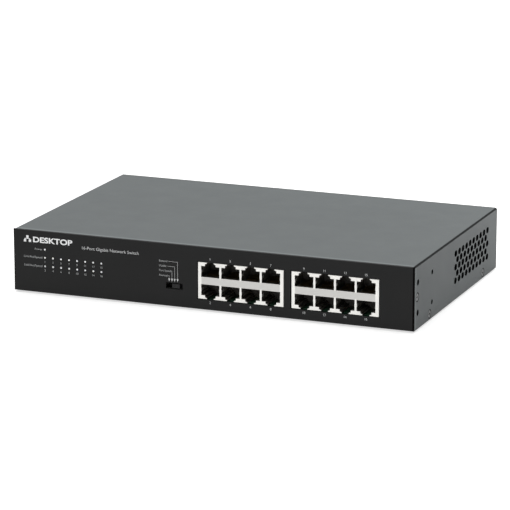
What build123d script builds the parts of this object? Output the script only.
"""Desktop network switch with sixteen shielded sockets, a slide switch and a built-in mains supply.

Millimetres. +X runs to the right along the front panel, +Y to the rear, +Z up. The origin is at
the bottom centre of the whole object. Places are given with at(): x across, depth behind the
front face, and height above the underside of the chassis, which stands on its feet.
"""
from build123d import *
import os

os.makedirs("parts", exist_ok=True)

# ---- driving dimensions -------------------------------------------------------------------
width, depth, height = 280.0, 175.0, 42.0  # chassis, without feet and inlet flange
foot_height = 1.0  # thin stick-on pads
sheet = 1.0  # steel sheet of tray and cover
inlet_proud = 2.5  # the mains inlet's flange stands this far behind the rear panel
front_y = -(depth + inlet_proud) / 2

rim_depth = 1.3  # the front panel's folded rim, which the cover butts against
rim_gap = 0.25
edge_radius = 0.9  # outer bend of the front panel
bend_radius = 1.6  # outer bend of the cover
fold_gap = 0.2  # between the cover and the flanges inside it
flange_depth = 12.0
side_flange_height = 7.5

ear_rows = (10.7, 30.6)  # heights of the bracket screw holes
ear_columns = {7.5: 2.05, 36.0: 1.65}  # depth and hole radius: M4 clear, then M4 tapped core
ear_clear_radius = 2.5  # of the hole behind, in the tray's flange
cover_screw_places = ((6.5, 21.1), (31.6, 3.7), (144.8, 3.7))
seat_radius, seat_angle = 3.0, 110  # countersinks under the cover screws
vent_size, vent_pitch, vent_row_pitch = (5.6, 4.2), 7.65, 4.6
vent_middle = (119.2, 21.9)
vent_counts = (10, 9, 10, 9, 10)

port_pitch = 14.03
jack_columns = 4
jack_width, jack_height, jack_length = 59.7, 24.3, 28.0
jack_recess = 0.3  # face of the shield behind the front face
jack_gap = 0.4  # panel cut-out around the shield
jack_centres = {"left": 22.0, "right": 86.8}
shield_wall = 0.3
mouth_width, mouth_height = 12.75, 7.35
step_width, step_height = 7.5, 1.35  # of the latch notch, next to the mouth
notch_width, shoulder_height = 4.8, 0.5
spring_bulge, spring_low, spring_high = 0.12, 2.35, 5.0  # tabs on the mouth's side edges
band_half = 2.4  # half of the bar between the two rows of sockets
cavity_depth = 16.0
contact_pitch, contact_width, contact_thick = 1.02, 0.45, 0.3

lamp_columns, lamp_pitch, lamp_first_x = 8, 5.83, -117.1
lamp_rows = {"odd": (24.05, 10.5), "even": (18.25, 7.0)}  # height, depth of the downward leg
power_lamp = (-117.1, 29.6, 14.0)
lamp_radius, lamp_hole_radius = 0.6, 0.7

knob_size = (5.4, 3.0)
knob_x, knob_z = -23.2, 13.9
knob_travel = (-4.0, 2.0)  # from the third of four settings, 2 mm apart
knob_clearance = 0.3

board_thick, board_top = 1.6, 7.3
board_x, board_span = (-134.0, 134.0), (3.2, 113.0)
board_fixings = ((-128, 12), (-45, 12), (126, 12), (-128, 105), (-10, 105), (126, 105))
supply_top = 8.6
supply_x, supply_span = (-92.0, 12.0), (119.0, 168.0)
supply_fixings = ((-88, 164), (7, 163), (-70, 123), (7, 123))
screw_radius, thread_hole_radius = 1.3, 1.35

inlet_x, inlet_z = -110.0, 21.0
inlet_body, inlet_flange = (27.0, 19.6), (48.0, 22.6)
inlet_mouth = (24.4, 16.4)
inlet_screw_half = 20.0

foot_places = ((-118, 24), (118, 24), (-118, 151), (118, 151))


# ---- helpers ------------------------------------------------------------------------------
def at(x, behind, up):
    return (x, front_y + behind, foot_height + up)


def cuboid(x, behind, up, mode=Mode.ADD):
    """A box between the low and high values of each pair."""
    middles = [(low + high) / 2 for low, high in (x, behind, up)]
    with Locations(at(*middles)):
        Box(x[1] - x[0], behind[1] - behind[0], up[1] - up[0], mode=mode)


def post(x, behind, bottom, radius, tall, mode=Mode.ADD):
    """A vertical cylinder standing at the given place."""
    with Locations(at(x, behind, bottom)):
        Cylinder(radius, tall, align=(Align.CENTER, Align.CENTER, Align.MIN), mode=mode)


def front_plane(behind):
    """Faces the viewer of the front panel; extrude a negative amount to go to the rear."""
    return Plane.XZ.offset(-(front_y + behind))


def side_plane(x=0.0):
    """Looks along +X: its own axes are Y and Z."""
    return Plane.YZ.offset(x)


def side_point(behind, up):
    return (front_y + behind, foot_height + up)


def write(built, name):
    built.part.label = name
    export_step(built.part, f"parts/{name}.step")


# ---- sheet metal --------------------------------------------------------------------------
def side_sketch_holes(places, radius):
    with Locations(*[side_point(*place) for place in places]):
        Circle(radius)


flange_holes = [(column, row) for column in ear_columns for row in ear_rows if column < flange_depth]
inner_half = width / 2 - sheet - fold_gap  # outer face of the flanges inside the cover
inner_top = height - sheet - fold_gap

with BuildPart() as base_tray:
    # front panel with its folded rim
    cuboid((-width / 2, width / 2), (0, rim_depth), (0, height))
    front_edges = base_tray.faces().sort_by(Axis.Y)[0].edges()
    fillet(front_edges, edge_radius)
    cuboid(
        (-width / 2 + sheet, width / 2 - sheet), (sheet, rim_depth), (sheet, height - sheet),
        Mode.SUBTRACT,
    )
    # bottom and rear panels
    cuboid((-inner_half, inner_half), (sheet, depth), (0, sheet))
    cuboid((-inner_half, inner_half), (depth - sheet, depth), (0, inner_top))
    # flanges along the top, front and rear
    for low, high in ((sheet, flange_depth), (depth - flange_depth, depth - sheet)):
        cuboid((-inner_half, inner_half), (low, high), (inner_top - sheet, inner_top))
    # flanges up the sides
    for low, high in ((-inner_half, -inner_half + sheet), (inner_half - sheet, inner_half)):
        cuboid((low, high), (sheet, depth - sheet), (0, side_flange_height))
        cuboid((low, high), (sheet, flange_depth), (0, inner_top))
        cuboid((low, high), (depth - flange_depth, depth - sheet), (0, inner_top))
    # openings of the front panel
    with BuildSketch(front_plane(0)):
        for centre in jack_centres.values():
            with Locations((centre, foot_height + board_top + jack_height / 2)):
                Rectangle(jack_width + 2 * jack_gap, jack_height + 2 * jack_gap)
        lamp_spots = [
            (lamp_first_x + n * lamp_pitch, foot_height + row[0])
            for n in range(lamp_columns) for row in lamp_rows.values()
        ]
        with Locations(*lamp_spots, (power_lamp[0], foot_height + power_lamp[1])):
            Circle(lamp_hole_radius)
        slot_low = knob_x + knob_travel[0] - knob_size[0] / 2 - knob_clearance
        slot_high = knob_x + knob_travel[1] + knob_size[0] / 2 + knob_clearance
        slot_size = (slot_high - slot_low, 4.1)
        with Locations(((slot_low + slot_high) / 2, foot_height + knob_z)):
            RectangleRounded(*slot_size, 0.5)
    extrude(amount=-sheet, mode=Mode.SUBTRACT)
    # mains inlet cut-out
    with BuildSketch(front_plane(depth)):
        with Locations((inlet_x, foot_height + inlet_z)):
            Rectangle(inlet_body[0] + 0.4, inlet_body[1] + 0.4)
            with Locations((-inlet_screw_half, 0), (inlet_screw_half, 0)):
                Circle(1.7)
    extrude(amount=sheet, mode=Mode.SUBTRACT)
    # threaded holes for the cover screws and clear holes behind the bracket screws
    with BuildSketch(side_plane()):
        side_sketch_holes(cover_screw_places, thread_hole_radius)
        side_sketch_holes(flange_holes, ear_clear_radius)
    extrude(amount=width, both=True, mode=Mode.SUBTRACT)
write(base_tray, "base_tray")

with BuildPart() as top_cover:
    cover_start = rim_depth + rim_gap
    cuboid((-width / 2, width / 2), (cover_start, depth), (0, height))
    long_edges = top_cover.edges().filter_by(Axis.Y).group_by(Axis.Z)[-1]
    fillet(long_edges, bend_radius)
    cuboid((-width / 2 + sheet, width / 2 - sheet), (cover_start, depth), (0, height - sheet), Mode.SUBTRACT)
    inner_edges = [
        edge for edge in top_cover.edges().filter_by(Axis.Y)
        if abs(edge.center().Z - foot_height - height + sheet) < 0.01
    ]
    fillet(inner_edges, bend_radius - sheet)
    with BuildSketch(side_plane()):
        for n, count in enumerate(vent_counts):
            up = vent_middle[1] + (2 - n) * vent_row_pitch
            with Locations(side_point(vent_middle[0], up)):
                with GridLocations(vent_pitch, 1, count, 1):
                    SlotOverall(*vent_size)
        for column, radius in ear_columns.items():
            side_sketch_holes([(column, row) for row in ear_rows], radius)
    extrude(amount=width, both=True, mode=Mode.SUBTRACT)
    # dimpled seats for the countersunk screws
    for side in (-1, 1):
        for behind, up in cover_screw_places:
            with Locations(Plane(origin=at(side * width / 2, behind, up), z_dir=(side, 0, 0))):
                CounterSinkHole(1.6, seat_radius, depth=2 * sheet, counter_sink_angle=seat_angle)
write(top_cover, "top_cover")

with BuildPart() as rubber_feet:
    for x, behind in foot_places:
        with BuildSketch(Plane(origin=at(x, behind, 0), x_dir=(1, 0, 0), z_dir=(0, -1, 0))):
            with BuildLine():
                Polyline(
                    (0, 0), (6.5, 0), (6.5, -0.5 * foot_height), (5.7, -foot_height), (2.6, -foot_height),
                    (2.2, -0.6 * foot_height), (0, -0.6 * foot_height), (0, 0),
                )
            make_face()
        revolve(axis=Axis(at(x, behind, 0), (0, 0, 1)))
write(rubber_feet, "rubber_feet")


# ---- fasteners ----------------------------------------------------------------------------
def phillips(radius, sink):
    """Cuts a cross recess into a head whose top is at the local origin."""
    for turn in (0, 90):
        with BuildSketch(Plane.XY.rotated((0, 0, turn))) as slit:
            Rectangle(2 * radius, radius * 0.42)
        extrude(slit.sketch, amount=-sink, mode=Mode.SUBTRACT)


def countersunk_screw(head_radius, head_depth, length):
    with BuildPart() as screw:
        with BuildSketch(Plane.XZ):
            with BuildLine():
                Polyline(
                    (0, 0), (head_radius, 0), (head_radius, -0.15), (screw_radius, -head_depth),
                    (screw_radius, -length + 0.4), (screw_radius - 0.4, -length), (0, -length), (0, 0),
                )
            make_face()
        revolve(axis=Axis.Z)
        phillips(1.5, 0.8)
    return screw.part


def pan_screw(head_radius, head_height, length):
    with BuildPart() as screw:
        Cylinder(head_radius, head_height, align=(Align.CENTER, Align.CENTER, Align.MAX))
        fillet(screw.edges().group_by(Axis.Z)[-1], head_height * 0.45)
        with Locations((0, 0, -head_height)):
            Cylinder(screw_radius - 0.1, length, align=(Align.CENTER, Align.CENTER, Align.MAX))
        chamfer(screw.edges().group_by(Axis.Z)[0], 0.35)
        phillips(1.4, 1.1)
    return screw.part


def fixed_with(screw, planes, name):
    """One group of identical screws, each with its head at a plane and its shank behind it."""
    with BuildPart() as group:
        with Locations(*planes):
            add(screw)
    write(group, name)


cover_screw = countersunk_screw(2.6, 1.05, 5.0)
head_sink = 0.1  # heads lie just under the cover's face
for side, name in ((-1, "cover_screws_left"), (1, "cover_screws_right")):
    heads = [
        Plane(origin=at(side * (width / 2 - head_sink), behind, up), x_dir=(0, 1, 0), z_dir=(side, 0, 0))
        for behind, up in cover_screw_places
    ]
    fixed_with(cover_screw, heads, name)


# ---- boards and their fixings -------------------------------------------------------------
def standoffs(places, top, name):
    with BuildPart() as group:
        for x, behind in places:
            with BuildSketch(Plane.XY.offset(foot_height + sheet)):
                with Locations((x, front_y + behind)):
                    RegularPolygon(3.2, 6)
                    Circle(thread_hole_radius, mode=Mode.SUBTRACT)
            extrude(amount=top - sheet)
    write(group, name)


def board_screws(places, top, name):
    head_height = 2.0
    planes = [Plane(origin=at(x, behind, top + head_height)) for x, behind in places]
    fixed_with(pan_screw(2.8, head_height, 5.2), planes, name)


def board(x, span, top, fixings):
    cuboid(x, span, (top - board_thick, top))
    for fix_x, behind in fixings:
        post(fix_x, behind, top - board_thick, 1.65, board_thick, Mode.SUBTRACT)


tail_depths = {"upper": 24.5, "lower": 20.5}  # where the contact tails pass the board
contact_xs = [(n - 3.5) * contact_pitch for n in range(8)]
column_xs = [(n - (jack_columns - 1) / 2) * port_pitch for n in range(jack_columns)]
switch_pin_xs = [knob_x - 1 + n * 2.5 for n in (-2.5, -1.5, -0.5, 0.5, 1.5, 2.5)]
switch_pin_depth = 9.0

with BuildPart() as main_board:
    board(board_x, board_span, board_top, board_fixings)
    tails = [
        (centre + column + x, front_y + behind)
        for centre in jack_centres.values() for column in column_xs
        for x in contact_xs for behind in tail_depths.values()
    ]
    pins = [(x, front_y + switch_pin_depth) for x in switch_pin_xs]
    with BuildSketch(Plane.XY.offset(foot_height + board_top)):
        with Locations(*tails):
            Circle(0.36)
        with Locations(*pins):
            Circle(0.6)
    extrude(amount=-board_thick, mode=Mode.SUBTRACT)
write(main_board, "main_board")
standoffs(board_fixings, board_top - board_thick, "main_board_standoffs")
board_screws(board_fixings, board_top, "main_board_screws")

with BuildPart() as supply_board:
    board(supply_x, supply_span, supply_top, supply_fixings)
write(supply_board, "supply_board")
standoffs(supply_fixings, supply_top - board_thick, "supply_standoffs")
board_screws(supply_fixings, supply_top, "supply_screws")

with BuildPart() as insulating_sheet:
    cuboid((supply_x[0] - 1, supply_x[1] + 1), (supply_span[0] - 2, supply_span[1] + 1), (sheet, sheet + 0.3))
    for x, behind in supply_fixings:
        post(x, behind, sheet, 3.9, 0.3, Mode.SUBTRACT)
write(insulating_sheet, "insulating_sheet")

# ---- stacked sockets ----------------------------------------------------------------------
jack_middle = board_top + jack_height / 2


def socket_face(row, with_tabs):
    """The mouth with its stepped latch notch, away from the middle bar; row is 1 above, -1 below."""
    mouth = (mouth_width / 2, band_half + mouth_height)
    step = [(step_width / 2, mouth[1]), (step_width / 2, mouth[1] + step_height)]
    notch = [(notch_width / 2, step[1][1] + shoulder_height), (notch_width / 2, jack_height / 2)]
    tab = mouth[0] - spring_bulge
    tabs = [
        (mouth[0], band_half + spring_low), (tab, band_half + spring_low + 0.4),
        (tab, band_half + spring_high - 0.4), (mouth[0], band_half + spring_high),
    ]
    half = [(mouth[0], band_half)] + (tabs if with_tabs else []) + [mouth] + step + notch
    other_half = [(-x, z) for x, z in reversed(half)]
    with BuildSketch(mode=Mode.PRIVATE) as face:
        with BuildLine():
            Polyline(*[(x, row * z) for x, z in half + other_half], close=True)
        make_face()
    return face.sketch


shield_mouths = {row: socket_face(row, True) for row in (1, -1)}
housing_mouths = {row: socket_face(row, False) for row in (1, -1)}


def socket_grid(centre, faces):
    for face in faces.values():
        with Locations(*[(centre + column, foot_height + jack_middle) for column in column_xs]):
            add(face)


def spring_face(edge):
    """Plan of a grounding spring: it starts on the shield's face and bulges into the mouth."""
    bulge, reach = spring_bulge + 0.2, 1.0
    outer = [(0.2, 0), (-spring_bulge, 0), (-bulge, reach), (-0.1, 3.6)]
    inner = [(0.1, 3.6), (0.2 - bulge, reach), (0, shield_wall), (0.2, shield_wall)]
    with BuildSketch(mode=Mode.PRIVATE) as face:
        with BuildLine():
            Polyline(*[(edge * x, y) for x, y in outer + inner], close=True)
        make_face()
    return face.sketch


spring_faces = {-1: spring_face(-1), 1: spring_face(1)}


def jack_shield(centre, name):
    low, high = centre - jack_width / 2, centre + jack_width / 2
    back = jack_recess + jack_length
    top = board_top + jack_height
    with BuildPart() as shield:
        cuboid((low, high), (jack_recess, back), (board_top, top))
        fillet(shield.edges().filter_by(Axis.Z).group_by(Axis.Y)[0], 0.5)
        cuboid(
            (low + shield_wall, high - shield_wall), (jack_recess + shield_wall, back - shield_wall),
            (board_top, top - shield_wall), Mode.SUBTRACT,
        )
        with BuildSketch(front_plane(jack_recess)):
            socket_grid(centre, shield_mouths)
        extrude(amount=-shield_wall, mode=Mode.SUBTRACT)
        for row in (1, -1):
            for edge, face in spring_faces.items():
                start = foot_height + jack_middle + row * (band_half + spring_low + 0.4)
                with BuildSketch(Plane.XY.offset(start)):
                    walls = [centre + column + edge * mouth_width / 2 for column in column_xs]
                    with Locations(*[(wall, front_y + jack_recess) for wall in walls]):
                        add(face)
                extrude(amount=row * (spring_high - spring_low - 0.8))
        # the latch notches run out through the shield's upper and lower edges
        for column in column_xs:
            notch = (centre + column - notch_width / 2, centre + column + notch_width / 2)
            cuboid(notch, (jack_recess, jack_recess + 2.5), (top - 0.5, top), Mode.SUBTRACT)
            cuboid(notch, (jack_recess, jack_recess + 2.5), (board_top, board_top + 0.5), Mode.SUBTRACT)
    write(shield, name)


def jack_housing(centre, name):
    """Moulded body: a front part with the sockets, and a chamber behind it for the contact tails."""
    half = jack_width / 2 - shield_wall - 0.05
    face = jack_recess + shield_wall
    front = face + cavity_depth + 2.0
    rear = jack_recess + jack_length - shield_wall - 0.05
    top = board_top + jack_height - shield_wall - 0.05
    relief = 0.35  # the mouths are wider here, for the grounding springs
    with BuildPart() as housing:
        cuboid((centre - half, centre + half), (face, rear), (board_top, top))
        cuboid((centre - half + 1, centre + half - 1), (front, rear - 1), (board_top, top - 1), Mode.SUBTRACT)
        with BuildSketch(front_plane(face)):
            socket_grid(centre, housing_mouths)
            for row in (1, -1):
                for column in column_xs:
                    up = foot_height + jack_middle + row * (band_half + 3.1)
                    with Locations((centre + column, up)):
                        Rectangle(mouth_width + 2 * relief, 4.6)
        extrude(amount=-cavity_depth, mode=Mode.SUBTRACT)
        # slots through which the contacts leave the cavities
        with BuildSketch(front_plane(face)):
            for row in (1, -1):
                for column in column_xs:
                    up = foot_height + jack_middle + row * (band_half + 0.5)
                    with Locations((centre + column, up)):
                        Rectangle(8.4, 1.0)
        extrude(amount=-(front - face), mode=Mode.SUBTRACT)
    write(housing, name)


def contact_face(row, tail):
    """Side view of one contact: spring finger, run along the cavity floor, and soldered tail."""
    run = foot_height + jack_middle + row * (band_half + 0.5)
    tip = (front_y + 12.0, run + row * 1.5)
    nose = (front_y + 3.6, run)
    corner = (front_y + tail, run)
    foot = (front_y + tail, foot_height + board_top - board_thick - 1.2)
    with BuildSketch(Plane.YZ, mode=Mode.PRIVATE) as face:
        with BuildLine():
            Polyline(tip, nose)
            FilletPolyline(nose, corner, foot, radius=1.0)
        trace(line_width=contact_thick)
    return face.sketch


def jack_contacts(centre, name):
    with BuildPart() as contacts:
        for row, tail in ((1, tail_depths["upper"]), (-1, tail_depths["lower"])):
            face = contact_face(row, tail)
            for column in column_xs:
                for x in contact_xs:
                    start = centre + column + x - contact_width / 2
                    extrude(face.moved(Location((start, 0, 0))), amount=contact_width, dir=(1, 0, 0))
    write(contacts, name)


for side, centre in jack_centres.items():
    jack_shield(centre, f"jack_shield_{side}")
    jack_housing(centre, f"jack_housing_{side}")
    jack_contacts(centre, f"jack_contacts_{side}")

# ---- indicator lamps ----------------------------------------------------------------------
led_height = 0.8
lamps = [
    (lamp_first_x + n * lamp_pitch, up, leg) for up, leg in lamp_rows.values() for n in range(lamp_columns)
] + [power_lamp]

with BuildPart() as light_pipes:
    for x, up, leg in lamps:
        with BuildLine(side_plane(x)) as route:
            FilletPolyline(
                side_point(0.1, up), side_point(leg, up), side_point(leg, board_top + led_height + 0.2),
                radius=2.0,
            )
        with BuildSketch(Plane(origin=route.line @ 0, z_dir=route.line % 0)):
            Circle(lamp_radius)
        sweep(path=route.line)
write(light_pipes, "light_pipes")

with BuildPart() as light_pipe_holder:
    holder_x = (lamp_first_x - 3.5, lamp_first_x + (lamp_columns - 1) * lamp_pitch + 3.5)
    cuboid(holder_x, (1.6, 4.6), (15.5, 26.5))
    cuboid((power_lamp[0] - 3.5, power_lamp[0] + 3.5), (1.6, 4.6), (26.5, 32.5))
    for low in (holder_x[0], holder_x[1] - 3.0):
        cuboid((low, low + 3.0), (board_span[0], 5.6), (board_top, 15.5))
    with BuildSketch(front_plane(0)):
        with Locations(*[(x, foot_height + up) for x, up, leg in lamps]):
            Circle(lamp_hole_radius)
    extrude(amount=-6.0, mode=Mode.SUBTRACT)
write(light_pipe_holder, "light_pipe_holder")

with BuildPart() as indicator_leds:
    for x, up, leg in lamps:
        cuboid((x - 0.8, x + 0.8), (leg - 0.6, leg + 0.6), (board_top, board_top + led_height))
write(indicator_leds, "indicator_leds")

# ---- slide switch -------------------------------------------------------------------------
carriage_size, carriage_depths = (7.6, 5.4), (3.3, 6.0)
switch_front, switch_wall, switch_back = 1.4, 1.6, 7.4
chamber_low = knob_x + knob_travel[0] - carriage_size[0] / 2 - 0.2
chamber_high = knob_x + knob_travel[1] + carriage_size[0] / 2 + 0.2
switch_x = (chamber_low - 2.0, chamber_high + 2.0)
switch_z = (board_top, knob_z + 4.6)

with BuildPart() as mode_switch_body:
    cuboid(switch_x, (switch_front, switch_back), switch_z)
    cuboid(
        (chamber_low, chamber_high), (switch_front + switch_wall, switch_back),
        (knob_z - 3.0, knob_z + 3.0), Mode.SUBTRACT,
    )
    cuboid((slot_low, slot_high), (0, switch_back), (knob_z - 1.8, knob_z + 1.8), Mode.SUBTRACT)
    cuboid(switch_x, (switch_front, board_span[0]), (0, board_top + 0.5), Mode.SUBTRACT)
write(mode_switch_body, "mode_switch_body")

with BuildPart() as mode_switch_base:
    cuboid(switch_x, (switch_back, switch_back + 1.2), (board_top, switch_z[1]))
write(mode_switch_base, "mode_switch_base")

with BuildPart() as mode_switch_pins:
    for x in switch_pin_xs:
        pin_depth = (switch_pin_depth - 0.2, switch_pin_depth + 0.2)
        cuboid((x - 0.35, x + 0.35), pin_depth, (board_top - board_thick - 1.2, knob_z))
        cuboid((x - 0.35, x + 0.35), (switch_back + 1.2, pin_depth[0]), (knob_z - 1.0, knob_z))
write(mode_switch_pins, "mode_switch_pins")

with BuildPart() as mode_switch_clamp:
    clamp = 0.3
    cuboid(
        (switch_x[0] - clamp, switch_x[1] + clamp), (switch_front, switch_back + 1.2),
        (board_top, switch_z[1] + clamp),
    )
    cuboid(switch_x, (0, depth), (0, switch_z[1]), Mode.SUBTRACT)
    cuboid((switch_x[0] - 1, switch_x[1] + 1), (0, board_span[0]), (0, board_top + 0.5), Mode.SUBTRACT)
write(mode_switch_clamp, "mode_switch_clamp")

with BuildPart() as mode_knob:
    half_x, half_z = knob_size[0] / 2, knob_size[1] / 2
    cuboid((knob_x - half_x, knob_x + half_x), (0.2, carriage_depths[0]), (knob_z - half_z, knob_z + half_z))
    fillet(mode_knob.faces().sort_by(Axis.Y)[0].edges(), 0.35)
    cuboid(
        (knob_x - carriage_size[0] / 2, knob_x + carriage_size[0] / 2), carriage_depths,
        (knob_z - carriage_size[1] / 2, knob_z + carriage_size[1] / 2),
    )
write(mode_knob, "mode_knob")

with BuildPart() as mode_wiper:
    wiper = (carriage_depths[1], carriage_depths[1] + 0.25)
    cuboid((knob_x - 3.2, knob_x + 3.2), wiper, (knob_z - 1.8, knob_z + 1.8))
    for low in (knob_x - 2.6, knob_x + 0.6):
        cuboid((low, low + 2.0), (wiper[1], wiper[1] + 0.75), (knob_z - 0.9, knob_z - 0.1))
write(mode_wiper, "mode_wiper")

# ---- parts on the main board --------------------------------------------------------------
chip_middle, chip_half = (20.0, 80.0), 12.0
sink_half, sink_base, fin_tall = 19.0, 2.5, 10.0


def chip(x, behind, half, tall, bottom=board_top):
    cuboid((x - half, x + half), (behind - half, behind + half), (bottom, bottom + tall))


def can(x, behind, bottom, radius, tall):
    """Revolved outline of an aluminium capacitor: its sleeve is rolled in above the seal."""
    groove = radius * 0.08
    with BuildSketch(Plane(origin=at(x, behind, bottom), x_dir=(1, 0, 0), z_dir=(0, -1, 0))) as half:
        with BuildLine():
            Polyline(
                (0, 0), (radius, 0), (radius, 1.2), (radius - groove, 1.7), (radius, 2.2),
                (radius, tall - 0.5), (radius - 0.5, tall), (0, tall), (0, 0),
            )
        make_face()
    revolve(half.sketch, axis=Axis(at(x, behind, bottom), (0, 0, 1)))


with BuildPart() as switch_chip:
    chip(*chip_middle, chip_half, 2.0)
    chamfer(switch_chip.edges().group_by(Axis.Z)[-1], 0.3)
write(switch_chip, "switch_chip")

with BuildPart() as thermal_pad:
    chip(*chip_middle, chip_half - 1.0, 0.5, board_top + 2.0)
write(thermal_pad, "thermal_pad")

with BuildPart() as chip_heatsink:
    sink_bottom = board_top + 2.5
    chip(*chip_middle, sink_half, sink_base, sink_bottom)
    fins = 10
    for n in range(fins):
        x = chip_middle[0] - sink_half + 0.6 + n * (2 * sink_half - 1.2) / (fins - 1)
        cuboid(
            (x - 0.6, x + 0.6), (chip_middle[1] - sink_half, chip_middle[1] + sink_half),
            (sink_bottom + sink_base, sink_bottom + sink_base + fin_tall),
        )
write(chip_heatsink, "chip_heatsink")

with BuildPart() as socket_driver_chip:
    chip(86.0, 80.0, 9.0, 1.6)
    chamfer(socket_driver_chip.edges().group_by(Axis.Z)[-1], 0.3)
write(socket_driver_chip, "socket_driver_chip")

with BuildPart() as line_transformers:
    for centre in jack_centres.values():
        for column in column_xs:
            x = centre + column
            cuboid((x - 6.0, x + 6.0), (36.0, 52.0), (board_top, board_top + 5.0))
    fillet(line_transformers.edges().filter_by(Axis.Z), 0.6)
write(line_transformers, "line_transformers")

with BuildPart() as memory_chip:
    cuboid((-22.0, -17.0), (76.0, 82.0), (board_top, board_top + 1.6))
    chamfer(memory_chip.edges().group_by(Axis.Z)[-1], 0.25)
write(memory_chip, "memory_chip")

with BuildPart() as clock_crystal:
    with BuildSketch(Plane.XY.offset(foot_height + board_top)):
        with Locations((-12.0, front_y + 66.0)):
            SlotOverall(11.0, 4.6)
    extrude(amount=3.4)
    fillet(clock_crystal.edges().group_by(Axis.Z)[-1], 0.6)
write(clock_crystal, "clock_crystal")

with BuildPart() as board_inductors:
    for x in (-62.0, -50.0, -38.0):
        with BuildSketch(Plane.XY.offset(foot_height + board_top)):
            with Locations((x, front_y + 70.0)):
                RectangleRounded(7.2, 7.2, 1.4)
        extrude(amount=4.0)
write(board_inductors, "board_inductors")

with BuildPart() as board_capacitors:
    for x, behind in ((-62, 82), (-50, 82), (-38, 82), (-26, 95), (52, 98), (112, 92)):
        can(x, behind, board_top, 3.15, 7.7)
write(board_capacitors, "board_capacitors")

# ---- mains supply -------------------------------------------------------------------------
core_middle = (-46.0, 144.0)

with BuildPart() as supply_transformer_core:
    x, behind = core_middle
    cuboid((x - 12.5, x + 12.5), (behind - 5, behind + 5), (supply_top + 1, supply_top + 22))
    window = (supply_top + 4.5, supply_top + 18.5)
    for low in (x - 9.5, x + 3.5):
        cuboid((low, low + 6.0), (behind - 6, behind + 6), window, Mode.SUBTRACT)
write(supply_transformer_core, "supply_transformer_core")

with BuildPart() as supply_transformer_winding:
    cuboid((x - 9.3, x + 9.3), (behind - 10, behind + 10), (supply_top + 4.7, supply_top + 18.3))
    fillet(supply_transformer_winding.edges().filter_by(Axis.Z), 3.0)
    cuboid((x - 3.5, x + 3.5), (behind - 5, behind + 5), (0, height), Mode.SUBTRACT)
    for low in (behind - 10, behind + 7):
        cuboid((x - 9.3, x + 9.3), (low, low + 3), (supply_top, supply_top + 4.7))
write(supply_transformer_winding, "supply_transformer_winding")

with BuildPart() as bulk_capacitor:
    can(-76.0, 155.0, supply_top, 8.0, 24.0)
write(bulk_capacitor, "bulk_capacitor")

with BuildPart() as output_capacitors:
    for behind in (134.0, 146.0, 158.0):
        can(-18.0, behind, supply_top, 5.0, 18.0)
write(output_capacitors, "output_capacitors")

with BuildPart() as supply_heatsink:
    cuboid((-66.0, -26.0), (162.0, 164.0), (supply_top, supply_top + 24.0))
    for low in (-66.0, -28.0):
        cuboid((low, low + 2.0), (155.5, 162.0), (supply_top, supply_top + 24.0))
write(supply_heatsink, "supply_heatsink")

with BuildPart() as switching_transistor:
    cuboid((-51.0, -41.0), (157.6, 162.0), (supply_top + 4.0, supply_top + 13.0))
    cuboid((-51.0, -41.0), (160.7, 162.0), (supply_top + 13.0, supply_top + 19.0))
    for leg_x in (-48.5, -46.0, -43.5):
        cuboid((leg_x - 0.35, leg_x + 0.35), (159.6, 160.1), (supply_top, supply_top + 4.0))
write(switching_transistor, "switching_transistor")

with BuildPart() as mains_choke:
    with BuildSketch(Plane(origin=at(-76.0, 136.0, supply_top + 9.0), x_dir=(0, 1, 0), z_dir=(1, 0, 0))):
        Circle(8.0)
        Circle(3.5, mode=Mode.SUBTRACT)
    extrude(amount=4.0, both=True)
    fillet(mains_choke.edges(), 1.5)
    cuboid((-80.0, -72.0), (130.0, 142.0), (supply_top, supply_top + 2.2))
write(mains_choke, "mains_choke")

with BuildPart() as fuse:
    with BuildSketch(Plane(origin=at(-68.0, 128.0, supply_top + 4.6), z_dir=(0, 1, 0))):
        Circle(2.6)
    extrude(amount=20.0)
    for low in (129.0, 143.0):
        cuboid((-70.9, -65.1), (low, low + 3.5), (supply_top, supply_top + 5.6))
write(fuse, "fuse")

with BuildPart() as output_diode_heatsink:
    cuboid((-6.0, -4.0), (132.0, 162.0), (supply_top, supply_top + 20.0))
write(output_diode_heatsink, "output_diode_heatsink")

# ---- mains inlet --------------------------------------------------------------------------
flange_back = depth + inlet_proud
inlet_front = depth - 20.0
mouth_floor = flange_back - 16.5
pin_places = ((-7.0, -2.0), (7.0, -2.0), (0.0, 2.0))  # two supply pins and the earth pin
pin_size = (2.0, 4.0)


def mouth_face():
    """Outline of the inlet's mouth: a rectangle with two cut corners."""
    half_x, half_z, cut = inlet_mouth[0] / 2, inlet_mouth[1] / 2, 4.5
    with BuildSketch(mode=Mode.PRIVATE) as face:
        with BuildLine():
            Polyline(
                (-half_x, -half_z), (half_x, -half_z), (half_x, half_z - cut), (half_x - cut, half_z),
                (cut - half_x, half_z), (-half_x, half_z - cut), close=True,
            )
        make_face()
    return face.sketch


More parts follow.
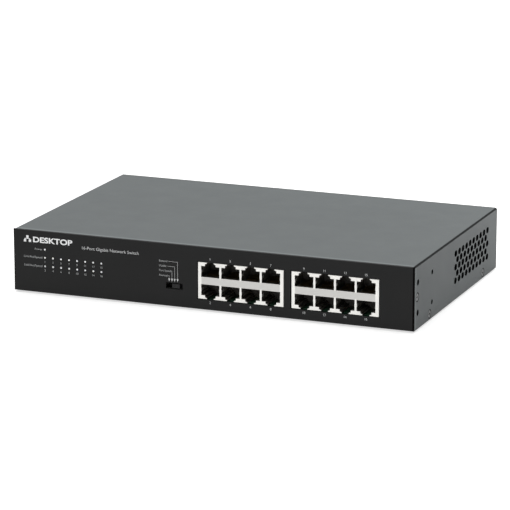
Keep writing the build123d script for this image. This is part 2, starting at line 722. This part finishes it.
with BuildPart() as power_inlet:
    with BuildSketch(front_plane(depth)):
        with Locations((inlet_x, foot_height + inlet_z)):
            RectangleRounded(*inlet_flange, 6.0)
            with Locations((-inlet_screw_half, 0), (inlet_screw_half, 0)):
                Circle(1.6, mode=Mode.SUBTRACT)
    extrude(amount=-inlet_proud)
    fillet(power_inlet.faces().sort_by(Axis.Y)[-1].outer_wire().edges(), 0.8)
    half_x, half_z = inlet_body[0] / 2, inlet_body[1] / 2
    cuboid((inlet_x - half_x, inlet_x + half_x), (inlet_front, depth), (inlet_z - half_z, inlet_z + half_z))
    with BuildSketch(front_plane(flange_back)):
        with Locations((inlet_x, foot_height + inlet_z)):
            add(mouth_face())
    extrude(amount=flange_back - mouth_floor, mode=Mode.SUBTRACT)
    with BuildSketch(front_plane(mouth_floor)):
        with Locations(*[(inlet_x + x, foot_height + inlet_z + up) for x, up in pin_places]):
            Rectangle(*pin_size)
    extrude(amount=mouth_floor - inlet_front, mode=Mode.SUBTRACT)
    for side in (-1, 1):
        place = at(inlet_x + side * inlet_screw_half, flange_back, inlet_z)
        with Locations(Plane(origin=place, z_dir=(0, 1, 0))):
            CounterSinkHole(1.6, 2.9, depth=inlet_proud, counter_sink_angle=90)
write(power_inlet, "power_inlet")

with BuildPart() as inlet_pins:
    for x, up in pin_places:
        cuboid(
            (inlet_x + x - pin_size[0] / 2, inlet_x + x + pin_size[0] / 2),
            (inlet_front - 7.0, flange_back - 4.6),
            (inlet_z + up - pin_size[1] / 2, inlet_z + up + pin_size[1] / 2),
        )
    chamfer(inlet_pins.faces().group_by(Axis.Y)[-1].edges(), 0.4)
write(inlet_pins, "inlet_pins")

inlet_screw = countersunk_screw(2.45, 1.3, 9.0)
inlet_sides = (inlet_x - inlet_screw_half, inlet_x + inlet_screw_half)
heads = [
    Plane(origin=at(x, flange_back - head_sink, inlet_z), x_dir=(1, 0, 0), z_dir=(0, 1, 0))
    for x in inlet_sides
]
fixed_with(inlet_screw, heads, "inlet_screws")

with BuildPart() as inlet_nuts:
    for x in inlet_sides:
        with BuildSketch(front_plane(depth - sheet)):
            with Locations((x, foot_height + inlet_z)):
                RegularPolygon(3.1, 6)
                Circle(thread_hole_radius, mode=Mode.SUBTRACT)
        extrude(amount=2.4)
write(inlet_nuts, "inlet_nuts")

# ---- wiring inside the case ---------------------------------------------------------------
wire_radius = 0.8


def wire(points, bend, radius=wire_radius):
    """A round wire along straight runs joined by arcs."""
    with BuildPart() as run:
        with BuildLine() as route:
            FilletPolyline(*points, radius=bend)
        with BuildSketch(Plane(origin=route.line @ 0, z_dir=route.line % 0)):
            Circle(radius)
        sweep(path=route.line)
    return run.part


def wire_group(wires, name):
    with BuildPart() as group:
        for part in wires:
            add(part)
    write(group, name)


header_face, header_z = supply_x[0] + 0.8, supply_top + 4.5
header_rows = {-7.0: 123.0, 7.0: 127.0}
tab_end = inlet_front - 7.25  # just clear of the tabs, where the solder is
mains_points = [
    [at(inlet_x + x, tab_end, inlet_z - 2.0), at(inlet_x + x, row, header_z), at(header_face, row, header_z)]
    for x, row in header_rows.items()
]
wire_group([wire(points, 8.0) for points in mains_points], "mains_wires")

with BuildPart() as mains_header:
    cuboid((header_face, header_face + 8.0), (120.0, 130.0), (supply_top, supply_top + 8.5))
    chamfer(mains_header.edges().filter_by(Axis.Y).group_by(Axis.Z)[-1], 0.8)
write(mains_header, "mains_header")

lug_depth = 117.0
earth_points = [
    at(inlet_x, tab_end, inlet_z + 2.0), at(inlet_x, 137.0, inlet_z), at(inlet_x, 127.0, 4.0),
    at(inlet_x, lug_depth + 3.0, sheet + 1.1),
]
wire_group([wire(earth_points, 4.0)], "earth_wire")

with BuildPart() as earth_lug:
    with BuildSketch(Plane.XY.offset(foot_height + sheet)):
        with Locations((inlet_x, front_y + lug_depth - 2)):
            Circle(3.4)
            Circle(1.6, mode=Mode.SUBTRACT)
        with Locations((inlet_x, front_y + lug_depth + 2.0)):
            Rectangle(2.0, 2.0)
    extrude(amount=0.6)
write(earth_lug, "earth_lug")

with BuildPart() as earth_stud:
    post(inlet_x, lug_depth - 2, sheet, 1.5, 7.0)
    with BuildSketch(Plane.XY.offset(foot_height + sheet + 0.6)):
        with Locations((inlet_x, front_y + lug_depth - 2)):
            RegularPolygon(3.2, 6)
    extrude(amount=2.4)
write(earth_stud, "earth_stud")

plug_depths = {"dc_header_board": (106.0, board_top), "dc_header_supply": (124.0, supply_top)}
harness_xs = [-57.0 + 2.5 * n for n in range(4)]
plug_top = board_top + 14.0

for name, (behind, bottom) in plug_depths.items():
    with BuildPart() as header:
        cuboid((harness_xs[0] - 2.5, harness_xs[-1] + 2.5), (behind - 3, behind + 3), (bottom, bottom + 6.0))
        cuboid((harness_xs[0] - 1.7, harness_xs[-1] + 1.7), (behind - 2.2, behind + 2.2),
               (bottom + 1.0, bottom + 6.0), Mode.SUBTRACT)
    write(header, name)

with BuildPart() as harness_plugs:
    for behind, bottom in plug_depths.values():
        across = (harness_xs[0] - 1.7, harness_xs[-1] + 1.7)
        cuboid(across, (behind - 2.2, behind + 2.2), (bottom + 1.0, plug_top))
write(harness_plugs, "harness_plugs")

board_end, supply_end = [behind for behind, bottom in plug_depths.values()]
harness_points = [
    [at(x, supply_end, plug_top), at(x, supply_end, plug_top + 9.0),
     at(x, board_end, plug_top + 9.0), at(x, board_end, plug_top)]
    for x in harness_xs
]
wire_group([wire(points, 6.5) for points in harness_points], "supply_harness")
